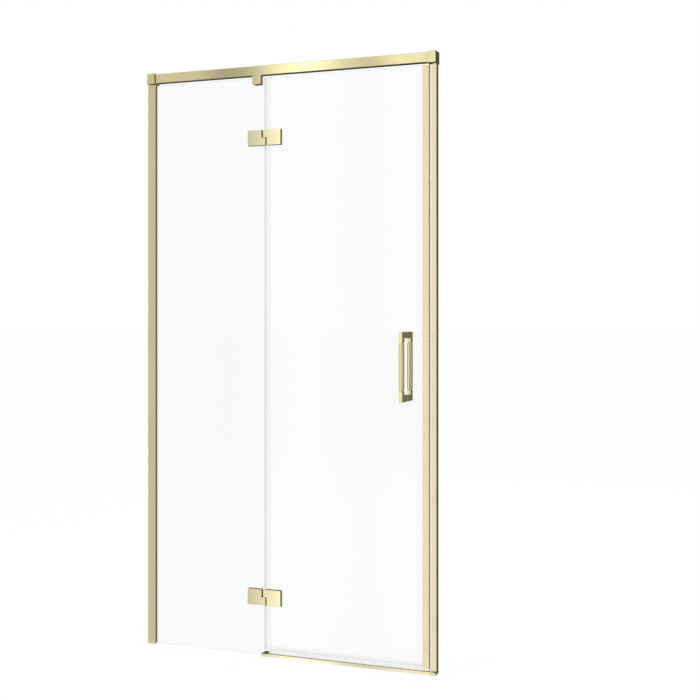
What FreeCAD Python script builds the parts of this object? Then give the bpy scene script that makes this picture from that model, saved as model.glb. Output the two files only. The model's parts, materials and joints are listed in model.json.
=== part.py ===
import FreeCAD, Part
import math
import os

# A hinged shower door: a fixed glass panel and a glass door in line between two walls, with a top rail.
# x runs along the opening, from the fixed side to the closing side. y runs from the outside of the shower
# (negative) to the inside, and y = 0 is the middle of the glass. z = 0 is the shower tray.

# Overall
overall_width = 1000.0
overall_height = 1900.0
glass_thickness = 6.0
glass_edge_bevel = 0.6
cut_overrun = 2.0
slide_fit = 0.3
snug_fit = 0.05

# Top rail
rail_height = 31.0
rail_depth = 24.0
rail_wall = 1.6
rail_corner = 1.5

# Rail ends
cap_length_left = 27.0
cap_length_right = 30.0
cap_front = 18.0
cap_back_left = 18.0
cap_back_right = 24.5
cap_height = 36.0
cap_plate = 6.0
cap_seat = 3.0
cap_joint = 2.3
cap_corner = 1.4
cap_fit = 0.15
cap_hole_radius = 2.6
cap_hole_spacing = 14.0
collar_length = 8.5
collar_front_drop = 5.0
collar_top_drop = 1.4
collar_bottom_drop = 2.0
grub_radius = 2.5
grub_socket_radius = 1.4
grub_socket_depth = 2.5

# Wall profiles
profile_skin = 1.6
profile_hole_radius = 2.6
profile_hole_inset = 172.0
profile_hole_count = 3

# Fixed side wall profile
cover_width = 28.0
cover_front = 12.3
cover_back = 6.0
cover_wall_gap = 0.4
cover_nose = 0.8
cover_back_step = 2.5
cover_lip = 2.0
channel_reach = 14.0
web_gap = 0.8
screw_rise = 60.0
screw_from_wall = 9.0
profile_screw_radius = 1.75
profile_screw_length = 6.0
profile_head_radius = 3.4
profile_head_height = 1.8

# Glazing gasket
gasket_leg = 1.4
gasket_web = 1.2
gasket_lip = 0.9
gasket_lip_spread = 0.8

# Closing side wall profile
strike_width = 12.0
strike_front = 8.0
strike_back = 14.5
strike_nose = 0.8
strike_lift = 2.5
strike_mouth = 10.0

# Magnet strips
carrier_reach = 8.5
carrier_depth = 16.0
carrier_nose = 2.2
carrier_foot_spread = 1.2
carrier_foot_thickness = 1.4
magnet_width = 9.0
magnet_thickness = 4.4
magnet_cover = 1.3

# Glass panels
fixed_glass_lift = 2.0
setting_block_length = 40.0
setting_block_depth = 10.0
setting_block_inset = 70.0
glass_top_gap = 7.0
door_bottom = 18.0
glass_joint = 7.0

# Hinges
pivot_from_wall = 429.0
pivot_y = -11.5
upper_hinge_drop = 195.0
lower_hinge_rise = 171.5
hinge_height = 50.0
hinge_thickness = 14.0
hinge_gasket = 1.0
fixed_leaf_reach = 58.5
door_leaf_reach = 56.5
knuckle_reach = 3.5
upper_gap = 6.7
lower_gap = 4.7
knuckle_gap = 1.2
washer_clearance = 0.2
washer_radius = 3.3
leaf_bevel = 0.5
gasket_margin = 0.6
pin_radius = 2.0
pin_fit = 0.02
pin_recess = 1.0
pin_top_cover = 4.0
bush_wall = 0.6
bush_running_fit = 0.05

# Hinge screws
leaf_screw_offset = 34.0
leaf_screw_spacing = 25.0
leaf_screw_radius = 2.5
leaf_screw_reach = 8.0
leaf_head_radius = 6.5
leaf_head_cone = 3.8
leaf_socket_radius = 1.6
leaf_socket_depth = 2.4
sleeve_wall = 1.4
sleeve_fit = 0.05

# Rail glass clamp
clamp_left_from_pivot = -45.2
clamp_width = 30.0
clamp_height = 28.2
clamp_back_step = 3.8
clamp_corner = 3.0
clamp_edge = 1.0
clamp_pad = 1.2
clamp_pad_margin = 1.5
clamp_rail_screw_radius = 2.0
clamp_rail_screw_length = 12.0
clamp_rail_head_radius = 3.6
clamp_rail_head_height = 2.0
clamp_grub_radius = 2.5
clamp_grub_drop = 18.0

# Threshold strip
sill_depth = 33.0
sill_height = 8.8
sill_corner = 1.0
sill_land = 7.5
sill_step = 1.5
sill_rib_y = 11.0
sill_rib_width = 2.4
sill_rib_height = 11.5
sill_back_height = 4.0
sill_recess = 1.2
sill_foot = 2.5
sill_end_length = 18.0
sill_end_proud = 0.5
sill_glass_bite = 5.0

# Closing profile
closer_width = 20.5
closer_depth = 16.0
closer_corner = 1.3
closer_skin = 1.2
closer_pocket = 14.0
closer_pocket_fit = 0.1
closer_web = 1.2
closer_cap = 1.5
door_gap = 3.0
door_magnet_fit = 0.15
door_magnet_inset = 0.3

# Clip-on seals
seal_leg = 1.0
seal_reach = 14.0
seal_web = 1.0
seal_fin = 1.2
seal_clearance = 0.3
seal_hinge_gap = 1.0
wiper_clearance = 0.6
drip_reach = 4.5
drip_rise = 1.4
apron_reach = 7.5

# Handle
handle_x_from_glass_edge = 69.9
handle_centre_z = 936.7
handle_height = 215.0
handle_arm_height = 20.0
handle_thickness = 10.8
handle_projection = 50.0
handle_bar_depth = 22.0
handle_inner_corner = 1.5
handle_bevel = 0.6
handle_pad = 1.0
grip_length = 150.0
grip_taper = 7.0
grip_swell = 1.1
grip_side_swell = 2.8
core_width = 7.0
core_depth = 17.0
stud_radius = 2.5
stud_reach = 13.0
stud_sleeve_radius = 4.0
set_screw_radius = 2.0
set_screw_length = 6.0

# Places worked out from the sizes above
left_wall = -overall_width / 2
right_wall = overall_width / 2
half_glass = glass_thickness / 2
cap_bottom = overall_height - cap_height
cap_middle_z = overall_height - cap_height / 2
profile_top = cap_bottom - cap_joint
rail_bottom = cap_bottom + cap_seat
glass_top = rail_bottom - glass_top_gap
pivot_x = left_wall + pivot_from_wall
fixed_glass_edge = pivot_x - glass_joint
cover_nose_x = left_wall + cover_width
cover_back_x = cover_nose_x - cover_back_step
cover_middle_y = (cover_back - cover_front) / 2
cover_web_x = left_wall + channel_reach + web_gap
gasket_back_x = cover_web_x + profile_skin + slide_fit
fixed_glass_back = gasket_back_x + gasket_web
strike_mouth_x = right_wall - strike_width
strike_middle_y = (strike_back - strike_front) / 2
carrier_face_x = strike_mouth_x - carrier_reach
closer_right_x = carrier_face_x - door_gap
closer_left_x = closer_right_x - closer_width
door_glass_right = closer_left_x + closer_pocket
door_glass_left = pivot_x
hinge_back = -half_glass - hinge_gasket
hinge_front = hinge_back - hinge_thickness
leaf_screw_zs = (-leaf_screw_spacing / 2, leaf_screw_spacing / 2)
clamp_left_x = pivot_x + clamp_left_from_pivot
clamp_bottom = rail_bottom - clamp_height
clamp_right_x = clamp_left_x + clamp_width
clamp_back_x = clamp_right_x - clamp_back_step
sill_end_left_x = fixed_glass_edge - sill_glass_bite
sill_start = sill_end_left_x + sill_end_length
handle_x = door_glass_right - handle_x_from_glass_edge
handle_arm_offset = handle_height / 2 - handle_arm_height / 2
handle_arm_zs = (handle_centre_z - handle_arm_offset, handle_centre_z + handle_arm_offset)
hinges = {"lower": door_bottom + lower_hinge_rise, "upper": glass_top - upper_hinge_drop}

along_x = FreeCAD.Vector(1, 0, 0)
along_y = FreeCAD.Vector(0, 1, 0)
along_z = FreeCAD.Vector(0, 0, 1)


def place_point(plane, first, second, offset):
    """The point of a flat drawing, in the plane at the offset along the plane's normal."""
    places = {
        "xy": (first, second, offset),
        "yz": (offset, first, second),
        "xz": (first, offset, second),
    }
    return FreeCAD.Vector(*places[plane])


def outline(corners, plane, offset):
    """A flat face from corners of (first, second) or (first, second, radius)."""
    points = [place_point(plane, corner[0], corner[1], offset) for corner in corners]
    arrivals = []
    departures = []
    arcs = []
    for index, corner in enumerate(corners):
        point = points[index]
        radius = corner[2] if len(corner) > 2 else 0
        if not radius:
            arrivals.append(point)
            departures.append(point)
            continue
        before = (points[index - 1] - point).normalize()
        after = (points[(index + 1) % len(points)] - point).normalize()
        half_angle = before.getAngle(after) / 2
        reach = radius / math.tan(half_angle)
        inward = (before + after).normalize()
        middle = point + inward * (radius / math.sin(half_angle) - radius)
        arrivals.append(point + before * reach)
        departures.append(point + after * reach)
        arcs.append(Part.Arc(arrivals[-1], middle, departures[-1]).toShape())
    edges = list(arcs)
    for index, start in enumerate(departures):
        end = arrivals[(index + 1) % len(arrivals)]
        edges.append(Part.makeLine(start, end))
    wire = Part.Wire(Part.__sortEdges__(edges))
    return Part.Face(wire)


def extruded(corners, plane, start, end):
    """A prism of the outline, from start to end along the normal of its plane."""
    normal = {"xy": along_z, "yz": along_x, "xz": along_y}[plane]
    return outline(corners, plane, start).extrude(normal * (end - start))


def block(x_range, y_range, z_range):
    """A plain rectangular cutting or filling block."""
    corner = FreeCAD.Vector(x_range[0], y_range[0], z_range[0])
    size = (x_range[1] - x_range[0], y_range[1] - y_range[0], z_range[1] - z_range[0])
    return Part.makeBox(*size, corner)


def rectangle(first, second, radius=0):
    """The four corners of a rectangle between two ranges, with one radius."""
    return [
        (first[0], second[0], radius),
        (first[1], second[0], radius),
        (first[1], second[1], radius),
        (first[0], second[1], radius),
    ]


def around(half):
    return (-half, half)


def rod(radius, start, direction, length):
    return Part.makeCylinder(radius, length, start, direction)


def turned(steps, start, direction):
    """A solid of revolution from steps of (distance along the axis, radius)."""
    points = [FreeCAD.Vector(0, 0, steps[0][0])]
    points += [FreeCAD.Vector(radius, 0, distance) for distance, radius in steps]
    points += [FreeCAD.Vector(0, 0, steps[-1][0])]
    edges = [Part.makeLine(a, b) for a, b in zip(points, points[1:] + points[:1]) if (a - b).Length]
    solid = Part.Face(Part.Wire(edges)).revolve(FreeCAD.Vector(), along_z, 360)
    turn = FreeCAD.Rotation(along_z, direction)
    solid.Placement = FreeCAD.Placement(start, turn)
    return solid


def hexagon_socket(radius, start, direction, depth):
    """The hexagonal key recess of a screw."""
    turns = [math.radians(60 * corner) for corner in range(6)]
    points = [FreeCAD.Vector(radius * math.cos(turn), radius * math.sin(turn), 0) for turn in turns]
    face = Part.Face(Part.makePolygon(points + points[:1]))
    socket = face.extrude(along_z * depth)
    socket.Placement = FreeCAD.Placement(start, FreeCAD.Rotation(along_z, direction))
    return socket


def edges_along(shape, direction, length):
    """The straight edges of a shape that run along a direction for at least the length."""
    found = []
    for edge in shape.Edges:
        run = edge.Vertexes[-1].Point - edge.Vertexes[0].Point
        if abs(run.dot(direction)) >= length and run.cross(direction).Length < length / 1000:
            found.append(edge)
    return found


def bevelled(shape, directions, length, bevel):
    """The shape with its long straight edges along the directions bevelled."""
    edges = []
    for direction in directions:
        edges += edges_along(shape, direction, length)
    return shape.makeChamfer(bevel, edges)


def profile_hole_zs():
    spacing = (cap_bottom - 2 * profile_hole_inset) / (profile_hole_count - 1)
    return [profile_hole_inset + spacing * index for index in range(profile_hole_count)]


def channel_left():
    """The hidden channel that is screwed to the wall on the fixed side."""
    front = -cover_front + profile_skin + slide_fit
    back = cover_back - profile_skin - slide_fit
    wall = (left_wall, left_wall + channel_reach)
    shell = extruded(rectangle(wall, (front, back)), "xy", 0, profile_top)
    inside = (left_wall + profile_skin, wall[1] + cut_overrun)
    inside_y = (front + profile_skin, back - profile_skin)
    channel = shell.cut(block(inside, inside_y, (-cut_overrun, overall_height)))
    for z in profile_hole_zs():
        start = FreeCAD.Vector(left_wall - cut_overrun, cover_middle_y, z)
        channel = channel.cut(rod(profile_hole_radius, start, along_x, profile_skin + 2 * cut_overrun))
    for z in cover_screw_zs():
        start = FreeCAD.Vector(left_wall + screw_from_wall, inside_y[1] - cut_overrun, z)
        channel = channel.cut(rod(profile_screw_radius, start, along_y, profile_skin + 2 * cut_overrun))
    return channel


def cover_screw_zs():
    return [z + screw_rise for z in profile_hole_zs()]


def cover_left():
    """The visible profile that slides over the channel and holds the fixed glass in its nose."""
    corners = [
        (left_wall + cover_wall_gap, -cover_front),
        (cover_nose_x, -cover_front, cover_nose),
        (cover_nose_x, 0),
        (cover_back_x, 0),
        (cover_back_x, cover_back, cover_nose),
        (left_wall + cover_wall_gap, cover_back),
    ]
    cover = extruded(corners, "xy", 0, profile_top)
    height = (-cut_overrun, overall_height)
    inner = (-cover_front + profile_skin, cover_back - profile_skin)
    cover = cover.cut(block((left_wall - cut_overrun, cover_web_x), inner, height))
    chamber = (cover_web_x + profile_skin, cover_nose_x - cover_lip)
    chamber_corners = rectangle(chamber, inner, profile_skin)
    cover = cover.cut(extruded(chamber_corners, "xy", *height))
    mouth = half_glass + gasket_leg
    cover = cover.cut(block((chamber[1] - cut_overrun, cover_nose_x + cut_overrun), around(mouth), height))
    for z in cover_screw_zs():
        start = FreeCAD.Vector(left_wall + screw_from_wall, inner[1] - cut_overrun, z)
        hole = rod(profile_screw_radius + snug_fit, start, along_y, profile_skin + 2 * cut_overrun)
        cover = cover.cut(hole)
    return cover


def cover_screws():
    """The small screws that hold the cover profile to the channel, on the inside of the shower."""
    screws = []
    for z in cover_screw_zs():
        start = FreeCAD.Vector(left_wall + screw_from_wall, cover_back + profile_head_height, z)
        steps = [
            (0, profile_head_radius),
            (profile_head_height, profile_head_radius),
            (profile_head_height, profile_screw_radius - snug_fit),
            (profile_head_height + profile_screw_length, profile_screw_radius - snug_fit),
        ]
        screw = turned(steps, start, -along_y)
        socket = hexagon_socket(profile_screw_radius / 2, start, -along_y, profile_head_height / 2)
        screws.append(screw.cut(socket))
    return Part.makeCompound(screws)


def glazing_gasket():
    """The soft channel round the edge of the fixed glass, with lips on the nose of the profile."""
    half = half_glass + gasket_leg - snug_fit
    lip_half = half + gasket_lip_spread
    nose = cover_nose_x + snug_fit
    back_nose = cover_back_x + snug_fit
    corners = [
        (gasket_back_x, -half, gasket_web),
        (nose, -half),
        (nose, -lip_half),
        (nose + gasket_lip, -half + gasket_leg / 2),
        (nose + gasket_lip, -half_glass - snug_fit),
        (fixed_glass_back, -half_glass - snug_fit),
        (fixed_glass_back, half_glass + snug_fit),
        (back_nose + gasket_lip, half_glass + snug_fit),
        (back_nose + gasket_lip, half - gasket_leg / 2),
        (back_nose, lip_half),
        (back_nose, half),
        (gasket_back_x, half, gasket_web),
    ]
    return extruded(corners, "xy", fixed_glass_lift, glass_top)


def fixed_glass():
    """The fixed pane, with holes for the hinge screws."""
    pane_x = (fixed_glass_back + snug_fit, fixed_glass_edge)
    pane = block(pane_x, around(half_glass), (fixed_glass_lift, glass_top))
    pane = bevelled(pane, (along_x, along_z), overall_width / 10, glass_edge_bevel)
    for hinge_z in hinges.values():
        pane = pane.cut(glass_holes(pivot_x - leaf_screw_offset, hinge_z))
    return pane


def glass_holes(x, hinge_z):
    """The holes in the glass behind one hinge leaf."""
    radius = leaf_head_radius + sleeve_wall + sleeve_fit
    holes = []
    for z in leaf_screw_zs:
        start = FreeCAD.Vector(x, -half_glass - cut_overrun, hinge_z + z)
        holes.append(rod(radius, start, along_y, glass_thickness + 2 * cut_overrun))
    return Part.makeCompound(holes)


def setting_blocks():
    """The blocks under the fixed glass, on the tray."""
    blocks = []
    ends = (fixed_glass_back + setting_block_inset, fixed_glass_edge - setting_block_inset)
    for x in ends:
        x_range = (x - setting_block_length / 2, x + setting_block_length / 2)
        blocks.append(block(x_range, around(setting_block_depth / 2), (0, fixed_glass_lift)))
    return Part.makeCompound(blocks)


def top_rail():
    """The hollow rail between the rail ends."""
    middle = around(rail_depth / 2)
    height = (rail_bottom, rail_bottom + rail_height)
    start = left_wall + cap_plate + slide_fit
    end = right_wall - cap_plate - slide_fit
    rail = extruded(rectangle(middle, height, rail_corner), "yz", start, end)
    bore_y = around(rail_depth / 2 - rail_wall)
    bore_z = (height[0] + rail_wall, height[1] - rail_wall)
    rail = rail.cut(extruded(rectangle(bore_y, bore_z), "yz", start - cut_overrun, end + cut_overrun))
    screw_top = clamp_screw_start() + along_z * clamp_rail_head_height
    return rail.cut(rod(clamp_rail_screw_radius, screw_top, along_z, clamp_rail_screw_length))


def rail_end(wall_x, inward, length, back):
    """The cast end that is screwed to the wall and holds the end of the rail."""
    x_range = sorted((wall_x, wall_x + inward * length))
    height = (cap_bottom, overall_height)
    end = extruded(rectangle((-cap_front, back), height, cap_corner), "yz", *x_range)
    face_edges = [edge for edge in end.Edges if is_on_plane(edge, wall_x + inward * length)]
    end = end.makeChamfer(cap_corner / 2, face_edges)
    socket_y = around(rail_depth / 2 + cap_fit)
    socket_z = (rail_bottom - cap_fit, rail_bottom + rail_height + cap_fit)
    socket_x = sorted((wall_x + inward * cap_plate, wall_x + inward * (length + cut_overrun)))
    end = end.cut(block(socket_x, socket_y, socket_z))
    for z in cap_hole_zs():
        start = FreeCAD.Vector(wall_x - inward * cut_overrun, 0, z)
        end = end.cut(rod(cap_hole_radius, start, along_x * inward, cap_plate + 2 * cut_overrun))
    start = rail_grub_start(wall_x, inward, length) - along_z * cut_overrun
    return end.cut(rod(grub_radius + snug_fit, start, along_z, cap_seat + 2 * cut_overrun))


def rail_end_right():
    """The rail end on the closing side, which narrows to the rail at the front, top and bottom."""
    mouth_x = right_wall - cap_length_right
    collar_x = mouth_x + collar_length
    front = [(mouth_x, -cap_front), (collar_x, -cap_front), (mouth_x, -cap_front + collar_front_drop)]
    top = [(mouth_x, overall_height), (collar_x, overall_height), (mouth_x, overall_height - collar_top_drop)]
    bottom = [(mouth_x, cap_bottom), (collar_x, cap_bottom), (mouth_x, cap_bottom + collar_bottom_drop)]
    end = rail_end(right_wall, -1, cap_length_right, cap_back_right)
    end = end.cut(extruded(front, "xy", 0, overall_height))
    for corners in (top, bottom):
        end = end.cut(extruded(corners, "xz", -cap_front, cap_back_right))
    return end


def is_on_plane(edge, x):
    return all(abs(vertex.X - x) < cap_fit for vertex in edge.Vertexes)


def cap_hole_zs():
    return (cap_middle_z - cap_hole_spacing / 2, cap_middle_z + cap_hole_spacing / 2)


def rail_grub_start(wall_x, inward, length):
    """The bottom of the set screw that pinches the rail in one rail end."""
    grub_x = wall_x + inward * (cap_plate + length) / 2
    return FreeCAD.Vector(grub_x, 0, cap_bottom)


def rail_grub_screws():
    """The set screws under the rail ends."""
    screws = []
    for wall_x, inward, length in ((left_wall, 1, cap_length_left), (right_wall, -1, cap_length_right)):
        start = rail_grub_start(wall_x, inward, length)
        screw = rod(grub_radius, start, along_z, cap_seat - snug_fit)
        socket = hexagon_socket(grub_socket_radius, start, along_z, grub_socket_depth)
        screws.append(screw.cut(socket))
    return Part.makeCompound(screws)


def strike_profile():
    """The wall profile on the closing side, with lips that hold the magnet strip."""
    wall = (strike_mouth_x, right_wall)
    corners = [
        (strike_mouth_x, -strike_front, strike_nose),
        (right_wall, -strike_front),
        (right_wall, strike_back),
        (strike_mouth_x, strike_back, strike_nose),
    ]
    profile = extruded(corners, "xy", sill_height + strike_lift, profile_top)
    height = (-cut_overrun, overall_height)
    chamber = (wall[0] + profile_skin, wall[1] - profile_skin)
    chamber_y = (-strike_front + profile_skin, strike_back - profile_skin)
    profile = profile.cut(block(chamber, chamber_y, height))
    mouth_x = (wall[0] - cut_overrun, chamber[0] + cut_overrun)
    profile = profile.cut(block(mouth_x, around(strike_mouth / 2), height))
    for z in profile_hole_zs():
        start = FreeCAD.Vector(right_wall - profile_skin - cut_overrun, strike_middle_y, z)
        profile = profile.cut(rod(profile_hole_radius, start, along_x, profile_skin + 2 * cut_overrun))
    return profile


def strike_carrier():
    """The soft carrier of the wall magnet, with its foot behind the lips of the strike profile."""
    neck = strike_mouth / 2 - snug_fit
    nose = carrier_depth / 2
    lip_front = strike_mouth_x - snug_fit
    lip_back = strike_mouth_x + profile_skin + snug_fit
    foot = neck + carrier_foot_spread
    corners = [
        (carrier_face_x, -nose, carrier_nose),
        (lip_front, -nose),
        (lip_front, -neck),
        (lip_back, -neck),
        (lip_back, -foot),
        (lip_back + carrier_foot_thickness, -foot, carrier_foot_thickness / 2),
        (lip_back + carrier_foot_thickness, foot, carrier_foot_thickness / 2),
        (lip_back, foot),
        (lip_back, neck),
        (lip_front, neck),
        (lip_front, nose),
        (carrier_face_x, nose, carrier_nose),
    ]
    carrier = extruded(corners, "xy", sill_height + slide_fit, glass_top)
    pocket = strike_magnet_range(snug_fit)
    return carrier.cut(block(*pocket, (-cut_overrun, overall_height)))


def strike_magnet_range(growth):
    """The x and y ranges of the wall magnet, grown by a clearance."""
    front = carrier_face_x + magnet_cover
    return (front - growth, front + magnet_thickness + growth), around(magnet_width / 2 + growth)


def strike_magnet():
    """The magnet bar in the carrier."""
    return block(*strike_magnet_range(0), (sill_height + slide_fit, glass_top))


def sill_corners(proud):
    """The section of the threshold strip, from the outside to the inside of the shower."""
    front = -sill_depth / 2 - proud
    back = sill_depth / 2 + proud
    land_end = front + sill_land
    rib_start = sill_rib_y - sill_rib_width / 2
    rib_end = sill_rib_y + sill_rib_width / 2
    valley = sill_height - sill_step
    return [
        (front, 0),
        (front, sill_height + proud, sill_corner),
        (land_end, sill_height + proud),
        (land_end + sill_step, valley),
        (rib_start - sill_step, valley),
        (rib_start, sill_rib_height, sill_rib_width / 3),
        (rib_end, sill_rib_height, sill_rib_width / 3),
        (rib_end + sill_step, valley),
        (back, sill_back_height),
        (back, 0),
        (sill_depth / 2 - sill_foot, 0),
        (sill_depth / 2 - sill_foot, sill_recess),
        (-sill_depth / 2 + sill_foot, sill_recess),
        (-sill_depth / 2 + sill_foot, 0),
    ]


def threshold_strip():
    """The strip on the tray under the door, with a lip that turns water back."""
    return extruded(sill_corners(0), "yz", sill_start, strike_mouth_x - carrier_reach)


def sill_end_corners():
    """The section of an end piece, flat on top and a little proud of the strip."""
    half = sill_depth / 2 + sill_end_proud
    return [
        (-half, 0),
        (-half, sill_height, sill_corner),
        (half, sill_height, sill_corner),
        (half, 0),
    ]


def threshold_end_left():
    """The end piece that grips the foot of the fixed glass."""
    end = extruded(sill_end_corners(), "yz", sill_end_left_x, sill_start)
    slot_x = (sill_end_left_x - cut_overrun, fixed_glass_edge + slide_fit)
    slot = block(slot_x, around(half_glass + slide_fit), (-cut_overrun, overall_height))
    return end.cut(slot)


def threshold_end_right():
    """The end piece under the strike profile, at the wall."""
    return extruded(sill_end_corners(), "yz", strike_mouth_x - carrier_reach, right_wall)


def clamp_screw_start():
    """The underside of the head of the screw that holds the clamp to the rail."""
    return FreeCAD.Vector(clamp_left_x + clamp_width / 2, 0, glass_top + clamp_pad + slide_fit)


def rail_glass_clamp():
    """The clamp under the rail that holds the free top corner of the fixed glass."""
    corners = [
        (clamp_left_x, rail_bottom),
        (clamp_left_x, clamp_bottom, clamp_corner),
        (clamp_right_x, clamp_bottom, clamp_edge),
        (clamp_right_x, rail_bottom),
    ]
    clamp = extruded(corners, "xz", -rail_depth / 2, rail_depth / 2)
    step_x = (clamp_back_x, clamp_right_x + cut_overrun)
    step_y = (half_glass + clamp_pad, rail_depth)
    clamp = clamp.cut(block(step_x, step_y, (clamp_bottom - cut_overrun, overall_height)))
    slot_x = (clamp_left_x - cut_overrun, clamp_right_x + cut_overrun)
    slot_top = glass_top + clamp_pad + snug_fit
    slot = block(slot_x, around(half_glass + clamp_pad + snug_fit), (clamp_bottom - cut_overrun, slot_top))
    clamp = clamp.cut(slot)
    head = clamp_screw_start()
    clamp = clamp.cut(rod(clamp_rail_screw_radius + snug_fit, head, along_z, clamp_height))
    head_room = rod(clamp_rail_head_radius + snug_fit, head - along_z * cut_overrun, along_z,
                    clamp_rail_head_height + cut_overrun + snug_fit)
    clamp = clamp.cut(head_room)
    start = clamp_grub_start()
    return clamp.cut(rod(clamp_grub_radius + snug_fit, start, along_y, rail_depth))


def clamp_grub_start():
    """The tip of the set screw that presses the pad against the glass."""
    x = (clamp_left_x + clamp_back_x) / 2
    return FreeCAD.Vector(x, half_glass + clamp_pad + 2 * snug_fit, rail_bottom - clamp_grub_drop)


def clamp_pad_piece():
    """The soft channel between the clamp and the glass."""
    half = half_glass + clamp_pad
    top = glass_top + clamp_pad
    corners = [
        (-half, clamp_bottom + clamp_pad_margin),
        (-half, top),
        (half, top),
        (half, clamp_bottom + clamp_pad_margin),
        (half_glass, clamp_bottom + clamp_pad_margin),
        (half_glass, glass_top),
        (-half_glass, glass_top),
        (-half_glass, clamp_bottom + clamp_pad_margin),
    ]
    start = clamp_left_x + clamp_pad_margin
    end = clamp_right_x - clamp_pad_margin
    pad = extruded(corners, "yz", start, end)
    step_x = (clamp_back_x - clamp_pad_margin, clamp_right_x)
    pad = pad.cut(block(step_x, (half_glass, rail_depth), (clamp_bottom, top)))
    corner_z = (clamp_bottom, clamp_bottom + clamp_corner)
    return pad.cut(block((start, start + clamp_corner), around(rail_depth), corner_z))


def clamp_screws():
    """The screw up into the rail and the set screw on the inside."""
    head = clamp_screw_start()
    steps = [
        (0, clamp_rail_head_radius),
        (clamp_rail_head_height, clamp_rail_head_radius),
        (clamp_rail_head_height, clamp_rail_screw_radius - snug_fit),
        (clamp_rail_screw_length, clamp_rail_screw_radius - snug_fit),
    ]
    rail_screw = turned(steps, head, along_z)
    rail_screw = rail_screw.cut(hexagon_socket(grub_socket_radius, head, along_z, clamp_rail_head_height / 2))
    start = clamp_grub_start()
    end = FreeCAD.Vector(start.x, rail_depth / 2, start.z)
    grub = rod(clamp_grub_radius, start, along_y, end.y - start.y)
    grub = grub.cut(hexagon_socket(grub_socket_radius, end, -along_y, grub_socket_depth))
    return Part.makeCompound([rail_screw, grub])


def leaf_at_hinge(corners, hinge_z):
    """A hinge leaf from the corners of its front view, about the pivot and the middle of the hinge."""
    moved = [(pivot_x + x, hinge_z + z) for x, z in corners]
    return extruded(moved, "xz", hinge_front, hinge_back)


def hinge_bores(hinge_z):
    """The bores for the pin in the lower knuckle and for the bush in the upper knuckle."""
    bottom = FreeCAD.Vector(pivot_x, pivot_y, hinge_z - hinge_height / 2 - cut_overrun)
    pin_bore = rod(pin_radius + pin_fit, bottom, along_z, hinge_height / 2 + cut_overrun)
    split = FreeCAD.Vector(pivot_x, pivot_y, hinge_z)
    bush_bore = rod(bush_outer_radius() + pin_fit, split, along_z, hinge_height / 2 - pin_top_cover)
    return pin_bore, bush_bore


def bush_outer_radius():
    return pin_radius + bush_running_fit + bush_wall


def rounded_knuckle(leaf, side, z_range):
    """The leaf with the back corner of its knuckle rounded, so that it turns clear of the glass."""
    edge_x = pivot_x + side * knuckle_reach
    centre_x = edge_x - side * knuckle_reach
    corner = block(sorted((edge_x, centre_x)), (hinge_back - knuckle_reach, hinge_back), z_range)
    start = FreeCAD.Vector(centre_x, hinge_back - knuckle_reach, z_range[0])
    round_end = rod(knuckle_reach, start, along_z, z_range[1] - z_range[0])
    return leaf.cut(corner.cut(round_end))


def screw_bores(x, hinge_z):
    """The threaded bores in the back of a leaf."""
    bores = []
    for z in leaf_screw_zs:
        start = FreeCAD.Vector(x, hinge_back + cut_overrun, hinge_z + z)
        bores.append(rod(leaf_screw_radius + snug_fit, start, -along_y, leaf_screw_reach + cut_overrun))
    return Part.makeCompound(bores)


def fixed_leaf(hinge_z):
    """The leaf on the fixed glass, whose lower half reaches under the knuckle of the door leaf."""
    half = hinge_height / 2
    split = -knuckle_gap / 2
    stop = -knuckle_reach - upper_gap
    corners = [(-fixed_leaf_reach, -half), (knuckle_reach, -half), (knuckle_reach, split), (stop, split),
               (stop, half), (-fixed_leaf_reach, half)]
    leaf = front_bevelled(leaf_at_hinge(corners, hinge_z))
    leaf = rounded_knuckle(leaf, 1, (hinge_z - half, hinge_z + split))
    pin_bore, bush_bore = hinge_bores(hinge_z)
    return leaf.cut(pin_bore).cut(screw_bores(pivot_x - leaf_screw_offset, hinge_z))


def door_leaf(hinge_z):
    """The leaf on the door glass, whose upper half reaches over the knuckle of the fixed leaf."""
    half = hinge_height / 2
    split = knuckle_gap / 2
    stop = knuckle_reach + lower_gap
    corners = [(door_leaf_reach, half), (-knuckle_reach, half), (-knuckle_reach, split), (stop, split),
               (stop, -half), (door_leaf_reach, -half)]
    leaf = front_bevelled(leaf_at_hinge(corners, hinge_z))
    leaf = rounded_knuckle(leaf, -1, (hinge_z + split, hinge_z + half))
    pin_bore, bush_bore = hinge_bores(hinge_z)
    return leaf.cut(bush_bore).cut(screw_bores(pivot_x + leaf_screw_offset, hinge_z))


def front_bevelled(leaf):
    """The leaf with a fine bevel round its front face."""
    front = hinge_front + leaf_bevel / 2
    edges = [edge for edge in leaf.Edges if all(vertex.Y < front for vertex in edge.Vertexes)]
    return leaf.makeChamfer(leaf_bevel, edges)


def hinge_pin(hinge_z):
    """The pin, held in the lower knuckle and turning in the bush of the upper one."""
    bottom = hinge_z - hinge_height / 2 + pin_recess
    top = hinge_z + hinge_height / 2 - pin_top_cover - pin_recess
    start = FreeCAD.Vector(pivot_x, pivot_y, bottom)
    steps = [
        (0, pin_radius),
        (top - bottom - pin_radius / 2, pin_radius),
        (top - bottom, pin_radius / 2),
    ]
    return turned(steps, start, along_z)


def hinge_bush(hinge_z):
    """The plastic bush that the door turns on."""
    start = FreeCAD.Vector(pivot_x, pivot_y, hinge_z + knuckle_gap / 2)
    length = hinge_height / 2 - pin_top_cover - knuckle_gap / 2 - snug_fit
    bush = rod(bush_outer_radius(), start, along_z, length)
    return bush.cut(rod(pin_radius + bush_running_fit, start, along_z, length))


def hinge_washer(hinge_z):
    """The thrust washer between the knuckles, which carries the door."""
    start = FreeCAD.Vector(pivot_x, pivot_y, hinge_z - knuckle_gap / 2)
    thickness = knuckle_gap - washer_clearance
    washer = rod(washer_radius, start, along_z, thickness)
    return washer.cut(rod(pin_radius + bush_running_fit, start, along_z, thickness))


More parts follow.
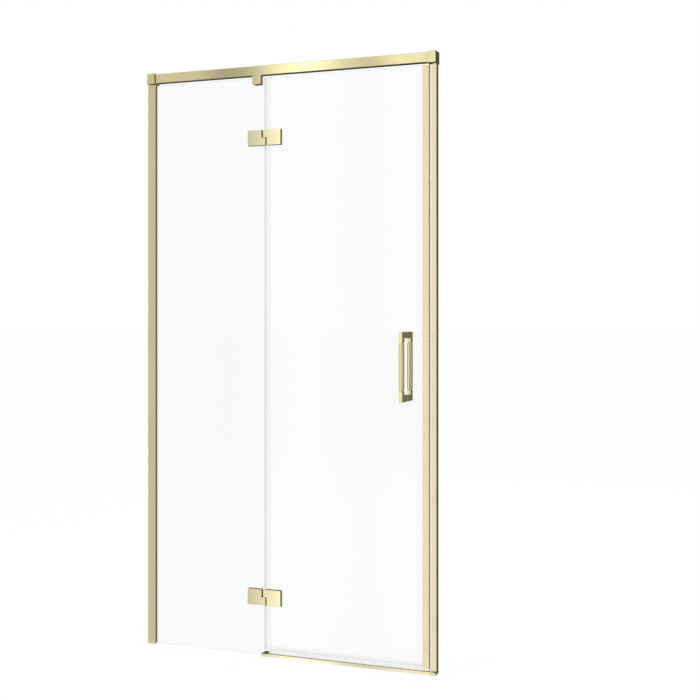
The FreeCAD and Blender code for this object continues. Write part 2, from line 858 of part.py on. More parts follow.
def leaf_gasket(x_range, screw_x, hinge_z):
    """The sheet between a leaf and the glass."""
    half = hinge_height / 2 - gasket_margin
    height = (hinge_z - half, hinge_z + half)
    sheet = block(x_range, (hinge_back, -half_glass), height)
    for z in leaf_screw_zs:
        start = FreeCAD.Vector(screw_x, hinge_back - cut_overrun, hinge_z + z)
        hole = rod(leaf_screw_radius + snug_fit, start, along_y, hinge_gasket + 2 * cut_overrun)
        sheet = sheet.cut(hole)
    return sheet


def fixed_gasket(hinge_z):
    stop = knuckle_reach + upper_gap + gasket_margin
    x_range = (pivot_x - fixed_leaf_reach + gasket_margin, pivot_x - stop)
    return leaf_gasket(x_range, pivot_x - leaf_screw_offset, hinge_z)


def door_gasket(hinge_z):
    x_range = (pivot_x + knuckle_reach + lower_gap, pivot_x + door_leaf_reach - gasket_margin)
    return leaf_gasket(x_range, pivot_x + leaf_screw_offset, hinge_z)


def leaf_screw_starts(x):
    """Where the screws of the leaves on one pane start, on the inside of the glass."""
    starts = []
    for hinge_z in hinges.values():
        starts += [FreeCAD.Vector(x, half_glass, hinge_z + z) for z in leaf_screw_zs]
    return starts


def glass_sleeves(x):
    """The countersunk sleeves between the screws and the glass."""
    inside = [
        (0, leaf_head_radius + sleeve_fit),
        (leaf_head_cone, leaf_screw_radius + sleeve_fit),
        (glass_thickness, leaf_screw_radius + sleeve_fit),
    ]
    sleeves = []
    for start in leaf_screw_starts(x):
        sleeve = rod(leaf_head_radius + sleeve_wall, start, -along_y, glass_thickness)
        sleeves.append(sleeve.cut(turned(inside, start, -along_y)))
    return Part.makeCompound(sleeves)


def leaf_screws(x):
    """The countersunk screws, flush with the inside of the glass."""
    steps = [
        (0, leaf_head_radius),
        (leaf_head_cone, leaf_screw_radius),
        (glass_thickness + hinge_gasket + leaf_screw_reach - leaf_bevel, leaf_screw_radius),
    ]
    screws = []
    for start in leaf_screw_starts(x):
        screw = turned(steps, start, -along_y)
        screws.append(screw.cut(hexagon_socket(leaf_socket_radius, start, -along_y, leaf_socket_depth)))
    return Part.makeCompound(screws)


def door_glass():
    """The door pane, with holes for the hinges and the handle."""
    pane = block((door_glass_left, door_glass_right), around(half_glass), (door_bottom, glass_top))
    pane = bevelled(pane, (along_x, along_z), overall_width / 10, glass_edge_bevel)
    for hinge_z in hinges.values():
        pane = pane.cut(glass_holes(pivot_x + leaf_screw_offset, hinge_z))
    for z in handle_arm_zs:
        start = FreeCAD.Vector(handle_x, -half_glass - cut_overrun, z)
        pane = pane.cut(rod(stud_sleeve_radius, start, along_y, glass_thickness + 2 * cut_overrun))
    return pane


def closer_outline():
    return rectangle((closer_left_x, closer_right_x), around(closer_depth / 2), closer_corner)


def closer_pocket_block():
    """The pocket that the door glass stands in."""
    x_range = (closer_left_x - cut_overrun, door_glass_right + snug_fit)
    return block(x_range, around(half_glass + closer_pocket_fit), (-cut_overrun, overall_height))


def closing_profile():
    """The profile on the closing edge of the door, with a chamber for the door magnet."""
    height = (door_bottom - closer_cap / 2 + closer_cap, glass_top - closer_cap)
    profile = extruded(closer_outline(), "xy", *height).cut(closer_pocket_block())
    pocket_wall = half_glass + closer_pocket_fit + closer_skin
    chamber_x = (closer_left_x + closer_skin, door_glass_right)
    cut_z = (-cut_overrun, overall_height)
    for side in (-1, 1):
        chamber_y = sorted((side * pocket_wall, side * (closer_depth / 2 - closer_skin)))
        profile = profile.cut(block(chamber_x, chamber_y, cut_z))
    return profile.cut(block(*door_magnet_range(door_magnet_fit), cut_z))


def door_magnet_range(growth):
    """The x and y ranges of the magnet strip in the closing profile."""
    start = door_glass_right + snug_fit + closer_web + door_magnet_fit
    end = closer_right_x - door_magnet_inset
    if growth:
        end = closer_right_x + cut_overrun
    return (start - growth, end), around(magnet_width / 2 + growth)


def closing_caps():
    """The end caps of the closing profile, slotted for the glass."""
    bottom = door_bottom - closer_cap / 2
    levels = ((bottom, bottom + closer_cap), (glass_top - closer_cap, glass_top))
    caps = [extruded(closer_outline(), "xy", *level).cut(closer_pocket_block()) for level in levels]
    return Part.makeCompound(caps)


def door_magnet():
    """The magnet strip in the closing profile."""
    height = (door_bottom - closer_cap / 2 + closer_cap, glass_top - closer_cap)
    x_range, y_range = door_magnet_range(0)
    corners = [
        (x_range[0], y_range[0]),
        (x_range[1], y_range[0], closer_corner / 2),
        (x_range[1], y_range[1], closer_corner / 2),
        (x_range[0], y_range[1]),
    ]
    return extruded(corners, "xy", *height)


def hinge_side_seal():
    """The clear seal on the hinge edge of the door, in lengths between the hinges."""
    half = half_glass + snug_fit
    web_x = door_glass_left - snug_fit - seal_web
    tip_x = fixed_glass_edge + seal_clearance
    corners = [
        (door_glass_left + seal_reach, -half - seal_leg),
        (door_glass_left + seal_reach, -half),
        (door_glass_left - snug_fit, -half),
        (door_glass_left - snug_fit, half),
        (door_glass_left + seal_reach, half),
        (door_glass_left + seal_reach, half + seal_leg),
        (web_x, half + seal_leg, seal_leg / 2),
        (web_x, half_glass - seal_fin),
        (tip_x, half_glass / 2),
        (tip_x, -half_glass / 2),
        (web_x, -half_glass + seal_fin),
        (web_x, -half - seal_leg, seal_leg / 2),
    ]
    breaks = [door_bottom]
    for hinge_z in hinges.values():
        breaks += [hinge_z - hinge_height / 2 - seal_hinge_gap, hinge_z + hinge_height / 2 + seal_hinge_gap]
    breaks.append(glass_top)
    lengths = [extruded(corners, "xy", start, end) for start, end in zip(breaks[::2], breaks[1::2])]
    return Part.makeCompound(lengths)


def bottom_seal():
    """The clear seal under the door, with a wiper over the threshold, an apron outside and a drip lip inside."""
    half = half_glass + snug_fit
    web_top = door_bottom - snug_fit
    web_bottom = web_top - seal_web
    wiper_bottom = sill_height + wiper_clearance
    legs_top = door_bottom + seal_reach
    corners = [
        (-half - seal_leg, legs_top),
        (-half, legs_top),
        (-half, web_top),
        (half, web_top),
        (half, legs_top),
        (half + seal_leg, legs_top),
        (half + seal_leg, web_bottom),
        (half + drip_reach, wiper_bottom + drip_rise),
        (half + drip_reach - seal_fin / 2, wiper_bottom + drip_rise / 2),
        (half, web_bottom),
        (-half + seal_fin, web_bottom),
        (-half + seal_fin, wiper_bottom),
        (-half, wiper_bottom),
        (-half, web_bottom),
        (-half - apron_reach + seal_fin / 2, wiper_bottom),
        (-half - apron_reach, wiper_bottom + seal_fin / 2),
        (-half - seal_leg, web_top),
    ]
    start = door_glass_left + seal_reach + seal_hinge_gap
    return extruded(corners, "yz", start, closer_left_x - seal_clearance)


def handle_bracket(side):
    """One half of the handle: a bar with two arms that meet the glass."""
    outer = side * (half_glass + handle_projection)
    bar_back = side * (half_glass + handle_projection - handle_bar_depth)
    foot = side * (half_glass + handle_pad)
    bottom = handle_centre_z - handle_height / 2
    top = handle_centre_z + handle_height / 2
    corners = [
        (outer, bottom, handle_bevel),
        (outer, top, handle_bevel),
        (foot, top),
        (foot, top - handle_arm_height),
        (bar_back, top - handle_arm_height, handle_inner_corner),
        (bar_back, bottom + handle_arm_height, handle_inner_corner),
        (foot, bottom + handle_arm_height),
        (foot, bottom),
    ]
    half = handle_thickness / 2
    bracket = extruded(corners, "yz", handle_x - half, handle_x + half)
    bracket = bracket.common(rounded_bar())
    bracket = bracket.cut(grip_recess(side))
    for z in handle_arm_zs:
        start = FreeCAD.Vector(handle_x, foot - side * cut_overrun, z)
        bore = rod(stud_radius + snug_fit, start, along_y * side, stud_reach + cut_overrun + snug_fit)
        bracket = bracket.cut(bore)
        if side > 0:
            depth = handle_arm_height - stud_radius
            start = set_screw_top(z) - along_z * depth
            bracket = bracket.cut(rod(set_screw_radius + snug_fit, start, along_z, depth))
    return bracket


def set_screw_top(z):
    """Where the set screw in an inside arm meets the stud."""
    return FreeCAD.Vector(handle_x, half_glass + handle_pad + stud_reach / 2, z - stud_radius)


def handle_set_screws():
    """The set screws under the inside arms, which lock that half of the handle to the studs."""
    screws = []
    for z in handle_arm_zs:
        start = set_screw_top(z) - along_z * (set_screw_length + snug_fit)
        screw = rod(set_screw_radius, start, along_z, set_screw_length)
        screws.append(screw.cut(hexagon_socket(set_screw_radius / 2, start, along_z, set_screw_length / 3)))
    return Part.makeCompound(screws)


def rounded_bar():
    """A block the size of the whole handle with its outer long edges bevelled."""
    half_y = half_glass + handle_projection
    half_z = handle_height / 2
    x_range = (handle_x - handle_thickness / 2, handle_x + handle_thickness / 2)
    bar = block(x_range, around(half_y), (handle_centre_z - half_z, handle_centre_z + half_z))
    return bevelled(bar, (along_y, along_z), half_y, handle_bevel)


def bar_middle_y(side):
    return side * (half_glass + handle_projection - handle_bar_depth / 2)


def grip_recess(side):
    """What is cut from the bar under the grip, down to its core."""
    middle = bar_middle_y(side)
    half = grip_length / 2
    height = (handle_centre_z - half, handle_centre_z + half)
    room = block((handle_x - handle_thickness, handle_x + handle_thickness),
                 (middle - handle_bar_depth, middle + handle_bar_depth), height)
    arm_room = block((handle_x - handle_thickness, handle_x + handle_thickness),
                     sorted((0, side * half_glass)), height)
    core = extruded(core_corners(side, 0), "xy", *height)
    return room.cut(core).cut(arm_room)


def core_corners(side, growth):
    """The section of the bar's core, grown by a clearance."""
    middle = bar_middle_y(side)
    x_range = (handle_x - core_width / 2 - growth, handle_x + core_width / 2 + growth)
    y_range = (middle - core_depth / 2 - growth, middle + core_depth / 2 + growth)
    return rectangle(x_range, y_range, core_width / 3)


def handle_grip(side):
    """The fuller, oval grip on the bar, with tapered ends."""
    bottom = handle_centre_z - grip_length / 2 + snug_fit
    top = handle_centre_z + grip_length / 2 - snug_fit
    rims = [
        grip_rim(side, 0, 0, bottom),
        grip_rim(side, grip_side_swell, grip_swell, bottom + grip_taper),
        grip_rim(side, grip_side_swell, grip_swell, top - grip_taper),
        grip_rim(side, 0, 0, top),
    ]
    grip = Part.makeLoft(rims, True, True)
    bore = extruded(core_corners(side, snug_fit), "xy", bottom - cut_overrun, top + cut_overrun)
    return grip.cut(bore)


def grip_rim(side, growth_x, growth_y, z):
    """An oval round the bar at one height, as wide as the bar and the growth."""
    centre = FreeCAD.Vector(handle_x, bar_middle_y(side), z)
    reach_x = along_x * (handle_thickness / 2 + growth_x)
    reach_y = along_y * (handle_bar_depth / 2 + growth_y)
    oval = Part.Ellipse(centre + reach_y, centre + reach_x, centre)
    return Part.Wire(oval.toShape())


def handle_pads():
    """The thin pads between the handle and the glass."""
    pads = []
    half_x = handle_thickness / 2 - handle_bevel
    half_z = handle_arm_height / 2 - handle_bevel
    for z in handle_arm_zs:
        for side in (-1, 1):
            y_range = sorted((side * half_glass, side * (half_glass + handle_pad)))
            pad = block((handle_x - half_x, handle_x + half_x), y_range, (z - half_z, z + half_z))
            start = FreeCAD.Vector(handle_x, y_range[0] - cut_overrun, z)
            pads.append(pad.cut(rod(stud_radius + snug_fit, start, along_y, handle_pad + 2 * cut_overrun)))
    return Part.makeCompound(pads)


def handle_studs():
    """The studs through the glass that join the two halves of the handle."""
    reach = half_glass + handle_pad + stud_reach
    return Part.makeCompound(
        [rod(stud_radius, FreeCAD.Vector(handle_x, -reach, z), along_y, 2 * reach) for z in handle_arm_zs]
    )


def handle_sleeves():
    """The sleeves round the studs in the glass."""
    sleeves = []
    for z in handle_arm_zs:
        start = FreeCAD.Vector(handle_x, -half_glass, z)
        sleeve = rod(stud_sleeve_radius - snug_fit, start, along_y, glass_thickness)
        sleeves.append(sleeve.cut(rod(stud_radius + snug_fit, start, along_y, glass_thickness)))
    return Part.makeCompound(sleeves)


def sub_parts():
    """Every piece, by the name of its file."""
    parts = {
        "wall_channel_left": channel_left(),
        "wall_profile_left": cover_left(),
        "wall_profile_screws": cover_screws(),
        "fixed_glass_gasket": glazing_gasket(),
        "fixed_glass": fixed_glass(),
        "fixed_glass_blocks": setting_blocks(),
        "top_rail": top_rail(),
        "rail_end_left": rail_end(left_wall, 1, cap_length_left, cap_back_left),
        "rail_end_right": rail_end_right(),
        "rail_end_screws": rail_grub_screws(),
        "wall_profile_right": strike_profile(),
        "wall_magnet_carrier": strike_carrier(),
        "wall_magnet": strike_magnet(),
        "threshold_strip": threshold_strip(),
        "threshold_end_left": threshold_end_left(),
        "threshold_end_right": threshold_end_right(),
        "rail_glass_clamp": rail_glass_clamp(),
        "rail_clamp_pad": clamp_pad_piece(),
        "rail_clamp_screws": clamp_screws(),
        "door_glass": door_glass(),
        "closing_profile": closing_profile(),
        "closing_profile_caps": closing_caps(),
        "door_magnet": door_magnet(),
        "hinge_side_seal": hinge_side_seal(),
        "bottom_seal": bottom_seal(),
        "handle_front": handle_bracket(-1),
        "handle_rear": handle_bracket(1),
        "handle_grip_front": handle_grip(-1),
        "handle_grip_rear": handle_grip(1),
        "handle_pads": handle_pads(),
        "handle_studs": handle_studs(),
        "handle_sleeves": handle_sleeves(),
        "handle_set_screws": handle_set_screws(),
        "hinge_fixed_sleeves": glass_sleeves(pivot_x - leaf_screw_offset),
        "hinge_door_sleeves": glass_sleeves(pivot_x + leaf_screw_offset),
        "hinge_fixed_screws": leaf_screws(pivot_x - leaf_screw_offset),
        "hinge_door_screws": leaf_screws(pivot_x + leaf_screw_offset),
    }
    for name, hinge_z in hinges.items():
        parts[name + "_hinge_fixed_leaf"] = fixed_leaf(hinge_z)
        parts[name + "_hinge_door_leaf"] = door_leaf(hinge_z)
        parts[name + "_hinge_pin"] = hinge_pin(hinge_z)
        parts[name + "_hinge_bush"] = hinge_bush(hinge_z)
        parts[name + "_hinge_washer"] = hinge_washer(hinge_z)
        parts[name + "_hinge_fixed_gasket"] = fixed_gasket(hinge_z)
        parts[name + "_hinge_door_gasket"] = door_gasket(hinge_z)
    return parts


os.makedirs("parts", exist_ok=True)
for name, shape in sub_parts().items():
    shape.exportStep("parts/" + name + ".step")
    print(name, len(shape.Solids), round(shape.Volume))
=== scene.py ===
import bpy
import bmesh
import json
import math
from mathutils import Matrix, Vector


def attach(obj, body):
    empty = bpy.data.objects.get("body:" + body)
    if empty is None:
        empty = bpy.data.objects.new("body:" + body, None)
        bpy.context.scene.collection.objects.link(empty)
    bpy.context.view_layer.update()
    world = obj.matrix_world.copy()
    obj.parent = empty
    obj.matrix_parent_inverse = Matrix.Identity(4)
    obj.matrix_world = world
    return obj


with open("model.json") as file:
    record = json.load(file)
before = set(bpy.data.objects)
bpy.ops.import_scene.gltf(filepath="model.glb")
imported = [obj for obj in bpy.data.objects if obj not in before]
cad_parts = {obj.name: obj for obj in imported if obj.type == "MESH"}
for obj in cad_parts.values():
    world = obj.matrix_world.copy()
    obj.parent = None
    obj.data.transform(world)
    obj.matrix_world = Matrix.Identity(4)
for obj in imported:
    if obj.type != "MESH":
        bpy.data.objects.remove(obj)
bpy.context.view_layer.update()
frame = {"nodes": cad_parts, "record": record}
print("frame loaded:", len(frame["nodes"]), "pieces")

white = (1, 1, 1, 1)
noiseMean = 0.5
broadLimits = (0.2, 0.7)  # of the squared normal across a pane, from its edges to its broad faces


class Flow:  # one socket of a node tree, with sums written as Python
    def __init__(self, paint, socket):
        self.paint = paint
        self.socket = socket

    def math(self, operation, first, second):
        return self.paint.node("ShaderNodeMath", {"operation": operation}, {0: first, 1: second})

    def __add__(self, other):
        return self.math("ADD", self, other)

    def __radd__(self, other):
        return self.math("ADD", other, self)

    def __sub__(self, other):
        return self.math("SUBTRACT", self, other)

    def __rsub__(self, other):
        return self.math("SUBTRACT", other, self)

    def __mul__(self, other):
        return self.math("MULTIPLY", self, other)

    def __rmul__(self, other):
        return self.math("MULTIPLY", other, self)

    def __truediv__(self, other):
        return self.math("DIVIDE", self, other)

    def __rtruediv__(self, other):
        return self.math("DIVIDE", other, self)


class Paint:  # the node tree of a material or of the world
    def __init__(self, owner):
        owner.use_nodes = True
        self.tree = owner.node_tree
        self.tree.nodes.clear()

    def node(self, kind, settings=None, inputs=None, output=0):
        made = self.tree.nodes.new(kind)
        for name, value in (settings or {}).items():
            if name == "stops":
                self.setStops(made.color_ramp, value)
            else:
                setattr(made, name, value)
        for name, value in (inputs or {}).items():
            if isinstance(value, Flow):
                self.tree.links.new(value.socket, made.inputs[name])
            else:
                made.inputs[name].default_value = value
        return Flow(self, made.outputs[output]) if len(made.outputs) else None

    def setStops(self, ramp, stops):
        while len(ramp.elements) > 1:
            ramp.elements.remove(ramp.elements[-1])
        for index, (place, colour) in enumerate(stops):
            stop = ramp.elements[0] if index == 0 else ramp.elements.new(place)
            stop.position = place
            stop.color = colour

    def noise(self, scale, detail):
        place = self.node("ShaderNodeTexCoord", output="Object")
        stretched = self.node("ShaderNodeMapping", None, {"Vector": place, "Scale": scale})
        inputs = {"Vector": stretched, "Scale": 1.0, "Detail": detail}
        return self.node("ShaderNodeTexNoise", {"noise_dimensions": "3D"}, inputs)

    def between(self, mask, first, second, blend="MIX"):
        settings = {"data_type": "RGBA", "blend_type": blend}
        return self.node("ShaderNodeMix", settings, {"Factor": mask, 6: first, 7: second}, output=2)

    def ramp(self, value, low, high):
        inputs = {"Value": value, "From Min": low, "From Max": high}
        return self.node("ShaderNodeMapRange", {"clamp": True}, inputs)

    def axis(self, vector, name):
        return self.node("ShaderNodeSeparateXYZ", None, {0: vector}, output=name)

    def normal(self, name):
        return self.axis(self.node("ShaderNodeTexCoord", output="Normal"), name)

    def facing(self):  # 1 on the two broad faces of a pane, 0 on its edges
        across = self.normal("Y")
        return self.ramp(across * across, *broadLimits)

    def bump(self, height, relief):
        inputs = {"Strength": 1.0, "Distance": relief, "Height": height}
        return self.node("ShaderNodeBump", None, inputs)

    def ray(self, kind):
        return self.node("ShaderNodeLightPath", output="Is " + kind + " Ray")

    def seen(self):  # 1 for what the camera sees, straight or through a pane
        inputs = {0: self.ray("Camera"), 1: self.ray("Transmission")}
        return self.node("ShaderNodeMath", {"operation": "MAXIMUM"}, inputs)


def newMaterial(name):
    material = bpy.data.materials.new(name)
    return material, Paint(material)


def finished(paint, inputs):
    surface = paint.node("ShaderNodeBsdfPrincipled", None, inputs)
    paint.node("ShaderNodeOutputMaterial", None, {"Surface": surface})


gold = {
    "cloud": 14.0,
    "cloudDetail": 2.0,
    "lineDetail": 3.0,
    "contrast": (0.3, 0.7),
    "spread": 0.03,
    "relief": 0.0000012,
}
# the finish's fine lines run along the axis with the smallest number
goldFinishes = {
    "upright": {
        "lines": (2600, 2600, 6), "roughness": 0.10,
        "light": (0.89, 0.765, 0.475, 1), "deep": (0.87, 0.74, 0.45, 1),
    },
    "level": {
        "lines": (6, 2600, 2600), "roughness": 0.06,
        "light": (0.895, 0.80, 0.46, 1), "deep": (0.875, 0.775, 0.435, 1),
    },
    "sill": {
        "lines": (6, 2600, 2600), "roughness": 0.08,
        "light": (0.87, 0.835, 0.57, 1), "deep": (0.855, 0.815, 0.55, 1),
    },
    "cast": {
        "lines": (1500, 1500, 1500), "roughness": 0.07,
        "light": (0.90, 0.785, 0.46, 1), "deep": (0.885, 0.765, 0.435, 1),
    },
    "leaf": {
        "lines": (1500, 1500, 1500), "roughness": 0.09,
        "light": (0.955, 0.885, 0.56, 1), "deep": (0.94, 0.865, 0.535, 1),
    },
    "dull": {
        "lines": (1500, 1500, 1500), "roughness": 0.26,
        "light": (0.86, 0.81, 0.52, 1), "deep": (0.84, 0.79, 0.50, 1),
    },
    "grip": {
        "lines": (3000, 3000, 30), "roughness": 0.12,
        "light": (0.88, 0.78, 0.48, 1), "deep": (0.865, 0.76, 0.455, 1),
    },
}


def goldMaterial(name, lines, roughness, light, deep):
    material, paint = newMaterial(name + "Gold")
    cloud = paint.noise((gold["cloud"],) * 3, gold["cloudDetail"])
    streaks = paint.noise(lines, gold["lineDetail"])
    tint = paint.between(paint.ramp(cloud, *gold["contrast"]), light, deep)
    rough = roughness + gold["spread"] * (streaks - noiseMean) + gold["spread"] * (cloud - noiseMean)
    bump = paint.bump(streaks, gold["relief"])
    finished(paint, {"Base Color": tint, "Metallic": 1.0, "Roughness": rough, "Normal": bump})
    return material


golds = {name: goldMaterial(name, **finish) for name, finish in goldFinishes.items()}

glassLook = {
    "pane": (0.977, 0.979, 0.978, 1),
    "gloss": 0.012,
    "grazing": 0.9,
    "paneRoughness": 0.02,
    "edge": (0.50, 0.60, 0.56, 1),
    "edgeRoughness": 0.08,
    "edgeBody": 0.12,
    "shadedTopBody": 0.34,  # painted shade: the level edge that is seen from below is drawn darker, with more solid green
    "shadedTopLimits": (-0.4, -0.8),
}


def glassMaterial():
    material, paint = newMaterial("clearGlass")
    broad = paint.facing()
    through = paint.node("ShaderNodeBsdfTransparent", None, {"Color": glassLook["pane"]})
    inputs = {"Base Color": white, "Metallic": 1.0, "Roughness": glassLook["paneRoughness"]}
    mirror = paint.node("ShaderNodeBsdfPrincipled", None, inputs)
    slant = paint.node("ShaderNodeLayerWeight", None, {"Blend": 0.5}, output="Facing")
    gloss = glassLook["gloss"] + glassLook["grazing"] * slant * slant * slant * slant * slant
    pane = paint.node("ShaderNodeMixShader", None, {0: gloss * broad, 1: through, 2: mirror})
    inputs = {"Base Color": glassLook["edge"], "Roughness": glassLook["edgeRoughness"]}
    green = paint.node("ShaderNodeBsdfPrincipled", None, inputs)
    # painted shade: the level edge seen from below gets more of the solid green, which draws it as a
    # darker line
    level = paint.ramp(paint.normal("Z"), *glassLook["shadedTopLimits"])
    body = glassLook["edgeBody"] + (glassLook["shadedTopBody"] - glassLook["edgeBody"]) * level
    surface = paint.node("ShaderNodeMixShader", None, {0: body * (1 - broad), 1: pane, 2: green})
    paint.node("ShaderNodeOutputMaterial", None, {"Surface": surface})
    return material


sealLook = {
    "leg": 0.035,  # how solid the faces that lie along the pane are
    "web": 0.08,
    "cloud": (60, 60, 8),
    "cloudDetail": 2.0,
    "roughness": 0.22,
    "spread": 0.1,
}
# inside its limits a seal is less clear: the fin towards the fixed pane, the skirt over the sill
sealFinishes = {
    "clear": {
        "light": (0.80, 0.81, 0.81, 1), "deep": (0.70, 0.71, 0.71, 1),
    },
    "finned": {
        "light": (0.76, 0.78, 0.77, 1), "deep": (0.68, 0.70, 0.69, 1),
        "body": 0.58, "limits": {"X": (-0.0736, -0.0722)},
    },
    "skirted": {
        "light": (0.90, 0.91, 0.90, 1), "deep": (0.865, 0.875, 0.865, 1),
        "body": 0.9, "limits": {"Y": (-0.0030, -0.0024), "Z": (0.0200, 0.0300)},
    },
}


def sealMaterial(name, light, deep, body=None, limits=None):
    material, paint = newMaterial(name + "Vinyl")
    cloud = paint.noise(sealLook["cloud"], sealLook["cloudDetail"])
    tint = paint.between(cloud, light, deep)
    rough = sealLook["roughness"] + sealLook["spread"] * cloud
    alpha = sealLook["web"] + (sealLook["leg"] - sealLook["web"]) * paint.facing()
    if limits:
        place = paint.node("ShaderNodeTexCoord", output="Object")
        inside = 1
        for axis, (start, end) in limits.items():
            inside = inside * (1 - paint.ramp(paint.axis(place, axis), start, end))
        alpha = alpha + (body - alpha) * inside
    finished(paint, {"Base Color": tint, "Roughness": rough, "Alpha": alpha})
    return material


plain = {
    "detail": 3.0,
    "contrast": (0.3, 0.7),
    "spread": 0.08,
    "relief": 0.00002,
}
plainFinishes = {
    "paleVinyl": {
        "grain": (900, 900, 20), "roughness": 0.3,
        "light": (0.77, 0.72, 0.65, 1), "deep": (0.74, 0.69, 0.62, 1),
    },
    "magnetBar": {
        "grain": (1200, 1200, 1200), "roughness": 0.55,
        "light": (0.10, 0.09, 0.09, 1), "deep": (0.07, 0.065, 0.065, 1),
    },
    "steel": {
        "grain": (2000, 2000, 60), "roughness": 0.25, "metallic": 1.0,
        "light": (0.62, 0.62, 0.62, 1), "deep": (0.55, 0.55, 0.56, 1),
    },
    "acetal": {
        "grain": (700, 700, 700), "roughness": 0.35,
        "light": (0.84, 0.84, 0.82, 1), "deep": (0.79, 0.79, 0.77, 1),
    },
    "paleEnd": {
        "grain": (700, 700, 700), "roughness": 0.35,
        "light": (0.95, 0.87, 0.78, 1), "deep": (0.91, 0.83, 0.74, 1),
    },
    "padding": {
        "grain": (900, 900, 900), "roughness": 0.5,
        "light": (0.42, 0.42, 0.40, 1), "deep": (0.38, 0.38, 0.36, 1),
    },
    "gasketSheet": {
        "grain": (1500, 1500, 1500), "roughness": 0.6,
        "light": (0.22, 0.22, 0.22, 1), "deep": (0.17, 0.17, 0.17, 1),
    },
}


def plainMaterial(name, grain, roughness, light, deep, metallic=0.0):
    material, paint = newMaterial(name)
    grains = paint.noise(grain, plain["detail"])
    tint = paint.between(paint.ramp(grains, *plain["contrast"]), light, deep)
    rough = roughness + plain["spread"] * (grains - noiseMean)
    bump = paint.bump(grains, plain["relief"])
    finished(paint, {"Base Color": tint, "Metallic": metallic, "Roughness": rough, "Normal": bump})
    return material


glass = glassMaterial()
seals = {name: sealMaterial(name, **finish) for name, finish in sealFinishes.items()}
plains = {name: plainMaterial(name, **finish) for name, finish in plainFinishes.items()}
print("materials made")

slotFinishes = {
    "gold_profile": golds["upright"],
    "gold_cast": golds["cast"],
    "gold_grip": golds["grip"],
    "clear_glass": glass,
    "clear_seal": seals["clear"],
    "magnet_carrier": plains["paleVinyl"],
    "magnet_core": plains["magnetBar"],
    "steel": plains["steel"],
    "hinge_plastic": plains["acetal"],
    "hinge_rubber": plains["gasketSheet"],
    "hinge_steel": plains["steel"],
}
nodeFinishes = {  # pieces whose finish isn't their slot's
    "top_rail": golds["level"],
    "threshold_strip": golds["sill"],
    "threshold_end_left": golds["dull"],
    "threshold_end_right": golds["dull"],
    "upper_hinge_fixed_leaf": golds["leaf"],
    "upper_hinge_door_leaf": golds["leaf"],
    "lower_hinge_fixed_leaf": golds["leaf"],
    "lower_hinge_door_leaf": golds["leaf"],
    "hinge_side_seal": seals["finned"],
    "bottom_seal": seals["skirted"],
    "handle_pads": plains["padding"],
}

for part in frame["record"]["subparts"]:
    piece = frame["nodes"][part["node"]]
    finish = nodeFinishes.get(part["node"], slotFinishes[part["material_slot"]])
    for holder in piece.material_slots:
        holder.material = finish
print("finishes on the pieces")

sealTail = {  # the bottom seal runs on under the closing profile
    "low": (0.4562, -0.0085, 0.0096),
    "high": (0.4788, 0.0074, 0.0170),
    "bevel": 0.0006,
    "segments": 2,
}


def addSealTail():
    shape = bmesh.new()
    bmesh.ops.create_cube(shape, size=1)  # from -0.5 to 0.5 along each axis
    corners = list(zip(sealTail["low"], sealTail["high"]))
    for point in shape.verts:
        point.co = [low + (high - low) * (at + 0.5) for (low, high), at in zip(corners, point.co)]
    bmesh.ops.bevel(shape, geom=shape.edges[:], offset=sealTail["bevel"],
                    segments=sealTail["segments"], profile=0.5, affect="EDGES", material=-1)
    mesh = bpy.data.meshes.new("bottomSealTail")
    shape.to_mesh(mesh)
    shape.free()
    mesh.materials.append(plains["paleEnd"])
    piece = bpy.data.objects.new("bottomSealTail", mesh)
    bpy.context.scene.collection.objects.link(piece)
    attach(piece, "door")


addSealTail()
print("seal's end made")

# what shiny pieces mirror: brightness by direction, in degrees from the front, below zero to the left
studio = {
    "shine": (
        (-180, 0.9), (-171, 0.14), (-165, 0.02), (-95, 0.35), (-78, 0.88), (-58, 1.3), (-38, 1.3),
        (-30.7, 0.54), (-28.6, 0.84), (-27.4, 0.48), (-26.5, 0.35), (-25.7, 0.36), (-24.6, 1.04),
        (-23.6, 1.36), (-22.4, 1.5), (-21.65, 1.38), (-20.65, 0.43), (-19.95, 0.43), (-19.0, 1.15),
        (-17.4, 0.95), (24, 0.85), (27.5, 0.22), (32.5, 0.22), (36, 0.8), (60, 0.64), (138, 0.36),
        (149, 0.25), (155.5, 0.12), (161.5, 0.245), (163.5, 0.055), (171, 0.14), (175, 0.8),
    ),
    "warm": (1, 0.96, 0.66, 1),  # the dark side of the room is tan
    "warmFrom": (135, 150),
    "warmTo": (168, 174),
    "ground": 0.12,
    "groundLimits": (-0.75, -0.4),  # how far down a direction points
    "diffuse": 0.93,
}


def shareOfTurn(angle):
    return (angle + 180) / 360


def studioShine(paint, strongest):
    direction = paint.node("ShaderNodeTexCoord", output="Generated")
    side, depth = paint.axis(direction, "X"), paint.axis(direction, "Y")
    turn = paint.node("ShaderNodeMath", {"operation": "ARCTAN2"}, {0: side, 1: -1 * depth})
    share = turn / (2 * math.pi) + 0.5
    stops = [(shareOfTurn(angle), (level / strongest,) * 3 + (1,)) for angle, level in studio["shine"]]
    bands = paint.node("ShaderNodeValToRGB", {"stops": stops}, {"Fac": share})
    rise, fall = ([shareOfTurn(angle) for angle in studio[name]] for name in ("warmFrom", "warmTo"))
    warmth = paint.ramp(share, *rise) * (1 - paint.ramp(share, *fall))
    tinted = paint.between(1.0, bands, paint.between(warmth, white, studio["warm"]), "MULTIPLY")
    above = paint.ramp(paint.axis(direction, "Z"), *studio["groundLimits"])
    return paint.between(above, (studio["ground"],) * 3 + (1,), tinted)


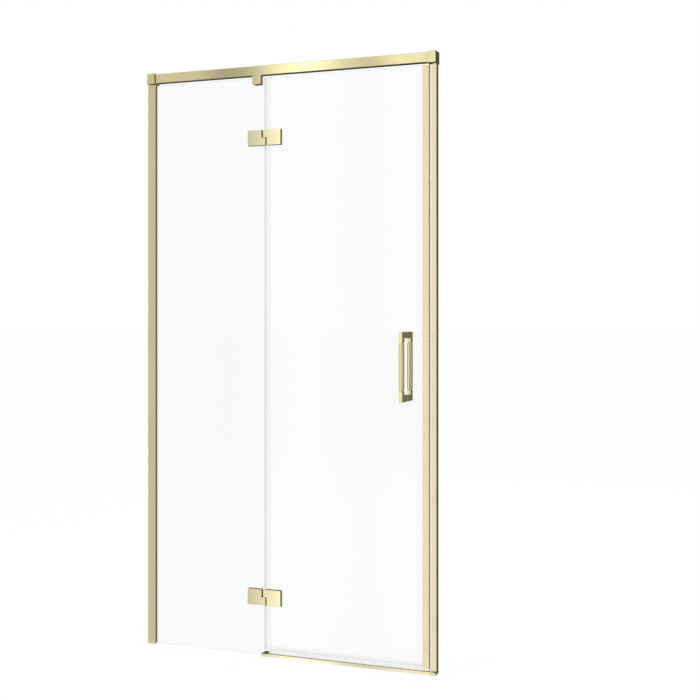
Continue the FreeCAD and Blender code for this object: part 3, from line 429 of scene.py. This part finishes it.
def lightStudio():
    world = bpy.data.worlds.new("studio")
    bpy.context.scene.world = world
    paint = Paint(world)
    strongest = max(level for angle, level in studio["shine"])
    shine = studioShine(paint, strongest)
    soft = paint.node("ShaderNodeBackground", None, {"Color": white, "Strength": studio["diffuse"]})
    blank = paint.node("ShaderNodeBackground", None, {"Color": white, "Strength": 1.0})
    shiny = paint.node("ShaderNodeBackground", None, {"Color": shine, "Strength": strongest})
    mixed = paint.node("ShaderNodeMixShader", None, {0: paint.ray("Glossy"), 1: soft, 2: shiny})
    mixed = paint.node("ShaderNodeMixShader", None, {0: paint.seen(), 1: mixed, 2: blank})
    paint.node("ShaderNodeOutputWorld", None, {"Surface": mixed})


lightStudio()

lamps = {
    "keyLamp": {"place": (-1.8, -3.2, 3.2), "aim": (0, 0, 0.9), "size": 2.2, "watts": 26},
    "fillLamp": {"place": (2.6, -2.6, 2.4), "aim": (0, 0, 0.9), "size": 2.0, "watts": 14},
    "backLamp": {"place": (0.6, 3.4, 3.0), "aim": (0, 0, 0.9), "size": 2.4, "watts": 16},
}


def addLamp(name, place, aim, size, watts):
    data = bpy.data.lights.new(name, "AREA")
    data.shape = "SQUARE"
    data.size = size
    data.energy = watts
    lamp = bpy.data.objects.new(name, data)
    bpy.context.scene.collection.objects.link(lamp)
    lamp.location = place
    lamp.rotation_euler = (Vector(aim) - Vector(place)).to_track_quat("-Z", "Y").to_euler()
    lamp.visible_glossy = False


for name, lamp in lamps.items():
    addLamp(name, **lamp)

floorLook = {
    "half": 60.0,
    "drop": 0.0005,
    "paint": (0.96, 0.96, 0.96, 1),
    "glow": 0.88,  # the share that is lit by itself, for the camera
    "strength": 1.002,
}


def addFloor():
    bpy.ops.mesh.primitive_plane_add(size=2 * floorLook["half"], location=(0, 0, -floorLook["drop"]))
    floor = bpy.context.object
    floor.name = "studioFloor"
    material, paint = newMaterial("studioFloor")
    matt = paint.node("ShaderNodeBsdfDiffuse", None, {"Color": floorLook["paint"]})
    glow = paint.node("ShaderNodeEmission", None, {"Color": white, "Strength": floorLook["strength"]})
    share = paint.seen() * floorLook["glow"]
    mixed = paint.node("ShaderNodeMixShader", None, {0: share, 1: matt, 2: glow})
    paint.node("ShaderNodeOutputMaterial", None, {"Surface": mixed})
    floor.data.materials.append(material)
    floor.visible_glossy = False


addFloor()
print("studio lit")

view = {
    "place": (1.507, -3.425, 1.102),
    "turn": 20.65,
    "picture": 700,
    "focus": 1168,  # in the picture's pixels, as the shift is
    "shift": -37,
    "sensor": 36,
}


def addCamera():
    data = bpy.data.cameras.new("photoCamera")
    data.sensor_width = view["sensor"]
    data.lens = view["focus"] / view["picture"] * view["sensor"]
    data.shift_y = view["shift"] / view["picture"]
    camera = bpy.data.objects.new("photoCamera", data)
    bpy.context.scene.collection.objects.link(camera)
    camera.location = view["place"]
    camera.rotation_euler = (math.radians(90), 0, math.radians(view["turn"]))
    bpy.context.scene.camera = camera


addCamera()
bpy.context.scene.view_settings.view_transform = "Standard"
print("camera set")
